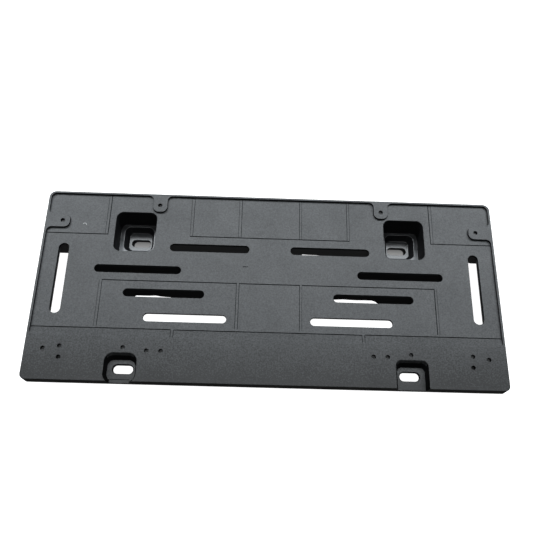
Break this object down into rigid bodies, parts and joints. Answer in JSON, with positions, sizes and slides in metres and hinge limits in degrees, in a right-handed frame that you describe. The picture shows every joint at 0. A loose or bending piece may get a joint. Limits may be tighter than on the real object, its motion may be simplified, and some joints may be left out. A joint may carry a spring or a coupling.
{
  "type": "number_plate_holder",
  "caption": "Moulded plastic number plate holder with slotted board, screw tabs, deep screw wells, lower strip with pockets and a closed skirt",
  "frame": {"origin": "bottom centre of the holder as it lies on its back, on the plane of the skirt's back edge", "axes": "+X along the plate to its right as seen from the front, +Y to the holder's top edge, +Z out of the face"},
  "size_m": [0.356, 0.154, 0.029],
  "materials": {
    "black_plastic": "fine even grain, matte, unpainted"
  },
  "bodies": {
    "root": {"plate_holder": "black_plastic"}
  },
  "joints": []
}
